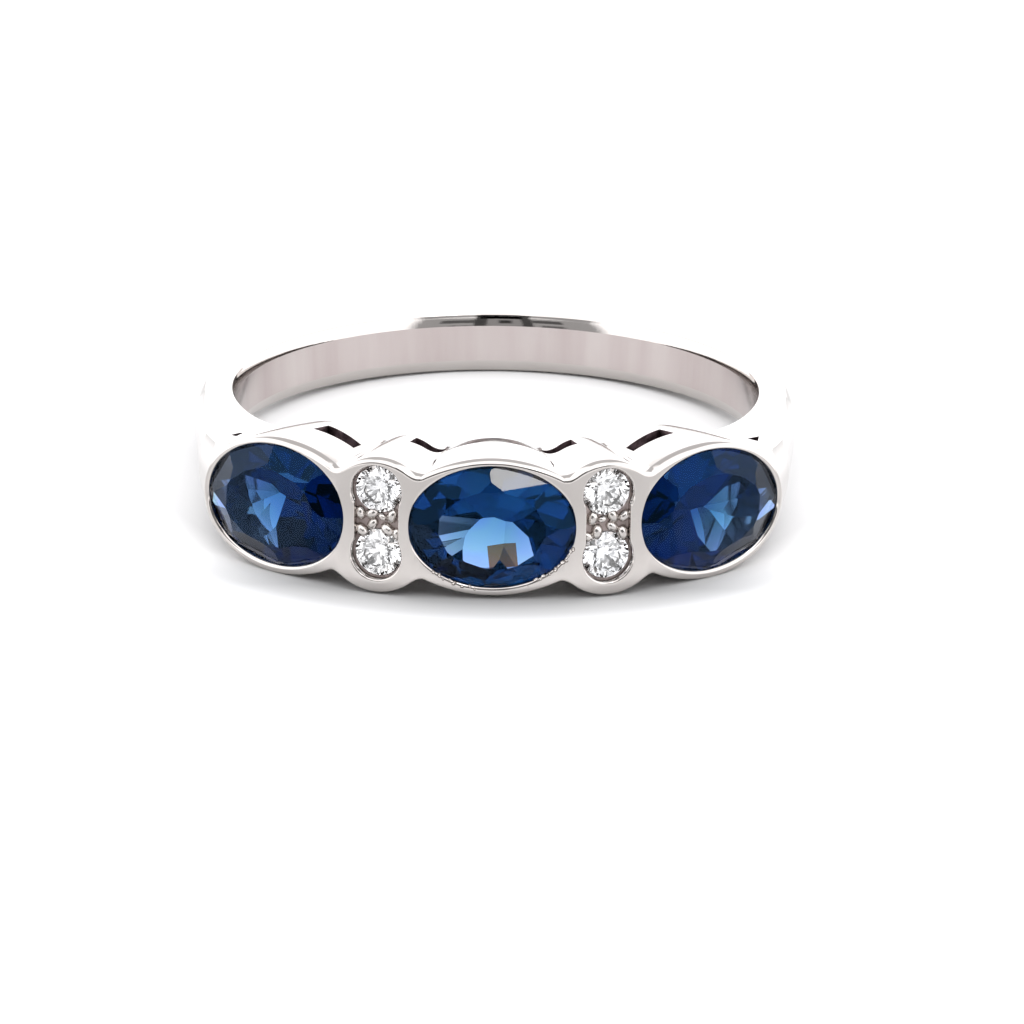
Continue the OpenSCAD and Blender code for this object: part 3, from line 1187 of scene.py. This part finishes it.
def frame_box() -> tuple[list, list]:
    """The whole object's box as plain lists."""
    low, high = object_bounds()
    return [float(v) for v in low], [float(v) for v in high]


def unit(way: Array) -> Array:
    """The same way with a length of one."""
    return way / np.linalg.norm(way)


def look_through() -> bpy.types.Object:
    """Sets the camera where the photograph was taken from.

    The line of sight leaves the ring's middle 16.7 degrees above its plane and 0.31 degrees to
    its right, and the ring leans back 3.55 degrees more. Distances are in millimetres, and the
    focal length and the middle are in pixels of a picture of 1024.

    Returns:
        The camera.
    """
    rise, yaw, far, focal = 0.291441, 0.0054256, 216.811, 6599.79
    mid_x, mid_y, roll = 495.45, 414.826, 0.00988979
    size, sensor = 1024, 36
    back = np.array([math.sin(yaw) * math.cos(rise), -math.cos(yaw) * math.cos(rise), math.sin(rise)])
    ahead = -back
    right = unit(np.cross(ahead, [0, 0, 1.0]))
    up = np.cross(right, ahead)
    right, up = right * math.cos(roll) + up * math.sin(roll), -right * math.sin(roll) + up * math.cos(roll)
    aim = ahead + right * (size / 2 - mid_x) / focal - up * (size / 2 - mid_y) / focal
    aim = unit(aim)
    right = unit(np.cross(aim, up))
    up = np.cross(right, aim)
    place, right, up, aim = (at_rest(v) for v in (back * far, right, up, aim))
    rows = np.column_stack([right / MM, up / MM, -aim / MM, place])
    camera = bpy.data.cameras.new("photo_camera")
    camera.sensor_width = sensor
    camera.lens = focal * sensor / size
    camera.clip_start = 0.005
    camera.clip_end = 20
    made = bpy.data.objects.new("photo_camera", camera)
    made.matrix_world = Matrix([[*row] for row in rows] + [[0, 0, 0, 1]])
    bpy.context.scene.collection.objects.link(made)
    bpy.context.scene.camera = made
    return made


class Nodes:
    """Short way to write a node tree."""

    def __init__(self, tree: bpy.types.NodeTree) -> None:
        """Empties the tree."""
        self.tree = tree
        tree.nodes.clear()

    def feed(self, value: Value | tuple, target: Socket) -> None:
        """Gives an input a value, or joins it to the socket that has one.

        Args:
            value: A number, a tuple or a socket.
            target: The input.
        """
        if isinstance(value, Socket):
            self.tree.links.new(value, target)
        else:
            target.default_value = value

    def add(self, kind: str, **values: object) -> bpy.types.Node:
        """Adds a node; values set its properties, or feed its inputs where the key names one.

        Args:
            kind: The node's type.
            values: What it gets, by name, with underscores for spaces.

        Returns:
            The node.
        """
        node = self.tree.nodes.new(kind)
        for key, value in values.items():
            if hasattr(node, key):
                setattr(node, key, value)
            else:
                self.feed(value, node.inputs[key.replace("_", " ")])
        return node

    def maths(self, operation: str, a: Value, b: Value = 0.0, clamp: bool = False) -> Socket:
        """Adds a maths node on numbers or sockets and returns its value.

        Args:
            operation: The node's operation.
            a: Its first number.
            b: Its second number.
            clamp: Whether the result is held between 0 and 1.

        Returns:
            The result.
        """
        node = self.add("ShaderNodeMath", operation=operation, use_clamp=clamp)
        for value, target in zip((a, b), node.inputs):
            self.feed(value, target)
        return node.outputs[0]

    def place(self) -> Socket:
        """Place in Object coordinates."""
        return self.add("ShaderNodeTexCoord").outputs["Object"]

    def split(self, vector: Socket) -> tuple[Socket, Socket, Socket]:
        """The three numbers of a vector."""
        return tuple(self.add("ShaderNodeSeparateXYZ", Vector=vector).outputs)

    def clouds(self, vector: Socket, **values: float) -> Socket:
        """Noise at a place."""
        return self.add("ShaderNodeTexNoise", Vector=vector, **values).outputs["Fac"]

    def spread(self, value: Socket, low: float, high: float) -> Socket:
        """Runs from 0 to 1 while a value runs from low to high."""
        return self.add("ShaderNodeMapRange", Value=value, From_Min=low, From_Max=high).outputs[0]

    def mix(self, share: Socket, one: Colour | Socket, two: Colour, blend: str = "MIX") -> Socket:
        """Mixes two colours by a share, or multiplies the second one in."""
        node = self.add("ShaderNodeMixRGB", blend_type=blend, Fac=share, Color1=one, Color2=two)
        return node.outputs[0]


def blank(name: str) -> tuple[bpy.types.Material, Nodes]:
    """A new finish and its empty nodes.

    Args:
        name: The finish's name.

    Returns:
        The finish and its nodes.
    """
    paint = bpy.data.materials.new(name)
    paint.use_nodes = True
    return paint, Nodes(paint.node_tree)


@dataclass(frozen=True)
class Card:
    """A card in the studio: where it stands as seen from the ring, and how bright it is.

    Angles are in degrees: round from the front to the right (from the back, where behind is
    set), and up from the horizon. The light changes over the soft edge.
    """

    side: tuple[float, float]
    rise: tuple[float, float]
    light: float
    soft: float = 1.5
    behind: bool = False


@dataclass(frozen=True)
class Studio:
    """White studio: a bright dome with grey and dark cards and one lamp in front.

    The floor's greys are stops, pairs of a distance in mm and a grey. The first stops are the floor's own
    grey with painted light, which lifts the fading tail of the shadow, and painted shade close under the
    ring. The dark stops are a painted shadow, laid only in front of the ring as the front stops allow. The
    glow starts at its first distance in metres, grows over the second and stays at the third number.
    """

    dome: float = 2.3
    cards: tuple[Card, ...] = (
        Card((-49, 39), (3, 40), 0.58, 7),
        Card((-31, -16.5), (21, 32), 0.16, 2),
        Card((-31, -20), (4, 13), 0.24, 2),
        Card((10, 26), (18, 30), 0.18, 2),
        Card((10, 22), (1, 10), 0.24, 2),
        Card((-16.5, 10.5), (2, 43), 0.1),
        Card((-11.5, 4.5), (2, 36), 0.46),
        Card((-7, -1), (17, 30), 0.08, 2),
        Card((-13, 9), (36, 49), 0.0),
        Card((24, 40), (48, 64), 6.0, 3),
        Card((-28, 28), (25, 60), 0.95, 6, True),
    )

    # The floor's grey, with painted light where the shadow fades and painted shade close to the ring.
    paper_with_painted_light_and_shade: tuple = ((0, 0.72), (9.5, 0.72), (11.5, 0.66), (13, 0.84), (15, 0.84), (18, 0.68), (24, 0.55))
    # Painted shadow: a dark ring laid on the floor just in front of the head, where the front stops let it
    # lie.
    dark: tuple = ((11.4, 0.0), (12, 0.45), (12.8, 0.5), (13.7, 0.34), (14.4, 0.12), (15.5, 0.0))
    front: tuple = ((8.8, 0.0), (11.2, 1.0))
    stop_reach: float = 30.0
    glow: tuple[float, float, float] = (0.03, 0.04, 0.9)
    rings: tuple[float, ...] = (0.001, 0.05, 0.4)
    sides: int = 96

    def light(self) -> None:
        """Writes the world's light as a function of direction."""
        world = bpy.data.worlds.new("studio")
        bpy.context.scene.world = world
        world.use_nodes = True
        n = Nodes(world.node_tree)
        x, y, z = n.split(n.add("ShaderNodeTexCoord").outputs["Generated"])
        degrees = 180 / math.pi
        rise = n.maths("MULTIPLY", n.maths("ARCSINE", z), degrees)
        front = n.maths("MULTIPLY", n.maths("ARCTAN2", x, n.maths("MULTIPLY", y, -1.0)), degrees)
        back = n.maths("MULTIPLY", n.maths("ARCTAN2", x, y), degrees)
        light: Value = self.dome
        for card in self.cards:
            share: Value = 1.0
            for angle, (low, high) in ((back if card.behind else front, card.side), (rise, card.rise)):
                off = n.maths("ABSOLUTE", n.maths("SUBTRACT", angle, (low + high) / 2))
                edge = n.maths("SUBTRACT", (high - low) / 2 + card.soft / 2, off)
                share = n.maths("MULTIPLY", share, n.maths("DIVIDE", edge, card.soft, clamp=True))
            change = n.maths("SUBTRACT", card.light, light)
            light = n.maths("ADD", light, n.maths("MULTIPLY", share, change))
        shade = n.add("ShaderNodeBackground", Color=(0.985, 0.985, 1.0, 1), Strength=light)
        n.add("ShaderNodeOutputWorld", Surface=shade.outputs[0])

    def steps(self, n: Nodes, way: Socket, stops: tuple) -> Socket:
        """A grey that changes evenly between stops along a way.

        Args:
            n: The nodes of the finish.
            way: The way in metres.
            stops: Pairs of a distance in mm and a grey.

        Returns:
            The grey.
        """
        share = n.maths("MULTIPLY", way, 1 / (self.stop_reach * MM), clamp=True)
        ramp = n.add("ShaderNodeValToRGB", Fac=share)
        for _ in range(len(stops) - 2):
            ramp.color_ramp.elements.new(0.5)
        for stop, (out, grey) in zip(ramp.color_ramp.elements, stops):
            stop.position = out / self.stop_reach
            stop.color = (grey, grey, grey, 1)
        return ramp.outputs["Color"]

    def paint(self) -> bpy.types.Material:
        """Builds the floor's finish: its greys with painted light, a painted shadow in front of the ring,
        and the glow further out.

        Returns:
            The finish.
        """
        paint, n = blank("pale_floor")
        far = n.add("ShaderNodeVectorMath", operation="LENGTH", Vector=n.place()).outputs["Value"]
        ahead = n.maths("MULTIPLY", n.split(n.place())[1], -1.0)
        # Painted shadow: the dark stops, laid only in front of the ring.
        shade = n.maths("MULTIPLY", self.steps(n, far, self.dark), self.steps(n, ahead, self.front))
        grey = n.maths("MULTIPLY", self.steps(n, far, self.paper_with_painted_light_and_shade), n.maths("SUBTRACT", 1.0, shade))
        start, way, most = self.glow
        share = n.maths("DIVIDE", n.maths("SUBTRACT", far, start), way, clamp=True)
        shader = n.add(
            "ShaderNodeBsdfPrincipled",
            Roughness=0.7,
            Base_Color=grey,
            Emission_Color=(1, 1, 1, 1),
            Emission_Strength=n.maths("MULTIPLY", share, most),
        )
        n.add("ShaderNodeOutputMaterial", Surface=shader.outputs[0])
        return paint

    def floor(self, height: float) -> bpy.types.Object:
        """Lays a pale round floor that brightens away from the ring.

        Args:
            height: Its height in metres.

        Returns:
            The floor.
        """
        count = self.sides
        rows = [np.column_stack([ellipse(r, r, count), np.full(count, height)]) for r in self.rings]
        points = np.vstack([*rows, [[0, 0, height]]])
        ring = np.arange(count)
        beside = (ring + 1) % count
        belt = np.stack([ring, beside, beside + count, ring + count], axis=-1).reshape(-1)
        quads = np.concatenate([belt + k * count for k in range(len(rows) - 1)])
        middle = np.stack([np.full(count, count * len(rows)), beside, ring], axis=-1).reshape(-1)
        loops = np.concatenate([quads, middle])
        starts = np.concatenate([np.arange(0, len(quads), 4), len(quads) + np.arange(0, len(middle), 3)])
        made = object_of(mesh_from("floor", points, loops, starts))
        made.data.materials.append(self.paint())
        made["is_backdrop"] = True
        return made


@dataclass(frozen=True)
class WhiteGold:
    """Polished white gold: warm grey, with faint clouds and fine polishing lines."""

    name: str = "polished_white_gold"
    tint: Colour = (0.505, 0.474, 0.453, 1)
    pale: Colour = (0.54, 0.51, 0.49, 1)
    gloss: tuple[float, float] = (0.03, 0.09)
    clouds: float = 420.0
    grit: float = 5200.0
    depth: float = 0.00002
    strength: float = 0.06

    def pattern(self, n: Nodes) -> Socket:
        """Clouds in Object coordinates."""
        return n.clouds(n.place(), Scale=self.clouds, Detail=3.0, Roughness=0.6)

    def make(self) -> bpy.types.Material:
        """Builds the finish: the pattern mixes two tints and two degrees of gloss.

        Returns:
            The finish.
        """
        paint, n = blank(self.name)
        share = n.spread(self.pattern(n), 0.3, 0.7)
        low, high = self.gloss
        fine = n.clouds(n.place(), Scale=self.grit, Detail=2.0)
        bump = n.add("ShaderNodeBump", Strength=self.strength, Distance=self.depth, Height=fine)
        shader = n.add(
            "ShaderNodeBsdfPrincipled",
            Metallic=1.0,
            Base_Color=n.mix(share, self.tint, self.pale),
            Roughness=n.maths("ADD", low, n.maths("MULTIPLY", share, high - low)),
            Normal=bump.outputs[0],
        )
        n.add("ShaderNodeOutputMaterial", Surface=shader.outputs[0])
        return paint


@dataclass(frozen=True)
class BrushedBore(WhiteGold):
    """Inside of the band: warmer, brushed along the finger in streaks that differ round the ring."""

    name: str = "brushed_white_gold"
    tint: Colour = (0.43, 0.37, 0.36, 1)
    pale: Colour = (0.54, 0.49, 0.475, 1)
    gloss: tuple[float, float] = (0.1, 0.2)
    clouds: float = 620.0
    drawn: float = 0.06

    def pattern(self, n: Nodes) -> Socket:
        """Streaks: clouds drawn long along the finger, with the ring's lean taken back.

        Args:
            n: The nodes of the finish.

        Returns:
            The streaks.
        """
        turn, scale = (RING.lean, 0, 0), (1, 1, self.drawn)
        level = n.add("ShaderNodeMapping", Vector=n.place(), Rotation=turn, Scale=scale)
        return n.clouds(level.outputs[0], Scale=self.clouds, Detail=5.0, Roughness=0.62)


@dataclass(frozen=True)
class Recess(WhiteGold):
    """Metal that no wheel reaches: the channels' floors and the stones' seats, rough and dull, and darker
    still with painted shade.
    """

    name: str = "unpolished_white_gold_painted_shade"
    tint: Colour = (0.32, 0.26, 0.25, 1)
    pale: Colour = (0.62, 0.55, 0.53, 1)
    gloss: tuple[float, float] = (0.6, 0.9)
    clouds: float = 2600.0
    grit: float = 9000.0
    depth: float = 0.00005
    strength: float = 0.3


@dataclass(frozen=True)
class PaintedShadeWindow(Recess):
    """Walls of the windows, painted dark brownish as the shade that falls inside them."""

    name: str = "painted_shade_white_gold"
    tint: Colour = (0.1, 0.07, 0.075, 1)
    pale: Colour = (0.26, 0.19, 0.2, 1)
    gloss: tuple[float, float] = (0.35, 0.7)


@dataclass(frozen=True)
class Gem:
    """A clear cut stone: its refraction and the colour that it takes out of the light.

    The edge tints colour what the facets throw back inside the stone. Two zones of body colour
    lie in clouds, and the colour deepens towards the girdle. A brownish patch, a painted reflection,
    can lie on the pavilion: its place along and up in the face of the head, and half its size, in mm.
    Its depth is the distance of its middle below the face and half its size that way.
    """

    name: str
    bend: float
    colour: Colour = (1, 1, 1, 1)
    density: float = 0.0
    edge: Colour = (1, 1, 1, 1)
    zones: tuple[Colour, Colour] = ((1, 1, 1, 1), (0.97, 0.98, 1, 1))
    rim: Colour = (1, 1, 1, 1)
    scale: float = 700.0
    painted_reflection: tuple[float, float, float, float] | None = None
    painted_reflection_depth: tuple[float, float] = (1.9, 1.2)
    painted_reflection_turn: float = math.radians(-7)
    painted_reflection_tint: Colour = (0.33, 0.06, 0.011, 1)

    def body(self, n: Nodes) -> Socket:
        """Colour of the zones, times the rim's colour towards the girdle, and times the painted
        reflection's brownish tint inside its box.

        Args:
            n: The nodes of the finish.

        Returns:
            The colour.
        """
        place = n.place()
        clouds = n.clouds(place, Scale=self.scale, Detail=1.0)
        zones = n.mix(n.spread(clouds, 0.42, 0.58), *self.zones)
        girdle = n.add("ShaderNodeAttribute", attribute_name="girdle_share").outputs["Fac"]
        deeper = n.mix(n.spread(girdle, 0.62, 1.0), zones, self.rim, "MULTIPLY")
        if self.painted_reflection is None:
            return deeper
        # Painted reflection: a brownish box on the pavilion darkens the window seen through it.
        along, up, half_along, half_up = self.painted_reflection
        below, half_deep = self.painted_reflection_depth
        box = n.add(
            "ShaderNodeMapping",
            vector_type="TEXTURE",
            Vector=place,
            Location=at_rest(on_head(0.0, along, up, RING.face_r - below)),
            Rotation=(0, self.painted_reflection_turn, 0),
            Scale=(half_along * MM, half_deep * MM, half_up * MM),
        )
        level = n.add("ShaderNodeVectorMath", operation="ABSOLUTE", Vector=box.outputs[0])
        x, y, z = n.split(level.outputs[0])
        inside = n.maths("LESS_THAN", n.maths("MAXIMUM", n.maths("MAXIMUM", x, y), z), 1.0)
        return n.mix(inside, deeper, self.painted_reflection_tint, "MULTIPLY")

    def make(self) -> bpy.types.Material:
        """Builds the finish: a clear surface with a colour that deepens with the way inside.

        Returns:
            The finish.
        """
        paint, n = blank(self.name)
        shader = n.add(
            "ShaderNodeBsdfPrincipled",
            Roughness=0.0,
            IOR=self.bend,
            Transmission_Weight=1.0,
            Specular_Tint=self.edge,
            Base_Color=self.body(n),
        )
        out = n.add("ShaderNodeOutputMaterial", Surface=shader.outputs[0])
        if self.density > 0:
            inside = n.add("ShaderNodeVolumeAbsorption", Density=self.density, Color=self.colour)
            n.feed(inside.outputs[0], out.inputs["Volume"])
        return paint


# The centre stone carries a painted brownish reflection on its pavilion.
SAPPHIRE = Gem(
    "blue_sapphire", 1.77, (0.257, 0.53, 0.7, 1), 1400.0, (0.035, 0.14, 0.34, 1),
    ((0.66, 0.75, 0.82, 1), (0.6, 0.58, 1, 1)), (0.55, 0.7, 0.65, 1), painted_reflection=(0.33, -1.03, 0.45, 0.32),
)
DEEP_SAPPHIRE = replace(SAPPHIRE, name="deep_blue_sapphire", density=1900.0, painted_reflection=None)
GLINT = replace(SAPPHIRE, name="bright_sapphire_facet", edge=(1, 1, 1, 1), painted_reflection=None)
DIAMOND = Gem("clear_diamond", 2.42)


def main() -> None:
    """Builds the scene."""
    logging.basicConfig(level=logging.INFO, format="%(message)s")
    bpy.context.scene.view_settings.view_transform = "Standard"
    packed = frame_box()
    look_through()
    studio = Studio()
    studio.light()
    studio.floor(packed[0][2])
    metals = [WhiteGold().make(), BrushedBore().make(), Recess().make(), PaintedShadeWindow().make()]
    mount = Mount().build(metals)
    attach(mount, "root")
    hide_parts("ring_mount")
    LOG.info("mount: %d faces", len(mount.data.polygons))
    blue, deep, bright = SAPPHIRE.make(), DEEP_SAPPHIRE.make(), GLINT.make()
    stones = [
        (OvalStone("sapphire_left", -RING.outer_turn, 89), deep),
        (OvalStone("sapphire_centre", 0.0, 79, glint=(68, 35)), blue),
        (OvalStone("sapphire_right", RING.outer_turn, 32), deep),
    ]
    for stone, finish in stones:
        made = stone.build([finish, bright])
        LOG.info("%s: %d facets", stone.node, len(made.data.polygons))
    finishes = {"ring": metals[0], "sapphire": blue, "diamond": DIAMOND.make()}
    for node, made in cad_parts.items():
        for slot in made.material_slots:
            slot.material = finishes[node.split("_")[0]]


if __name__ == "__main__":
    main()
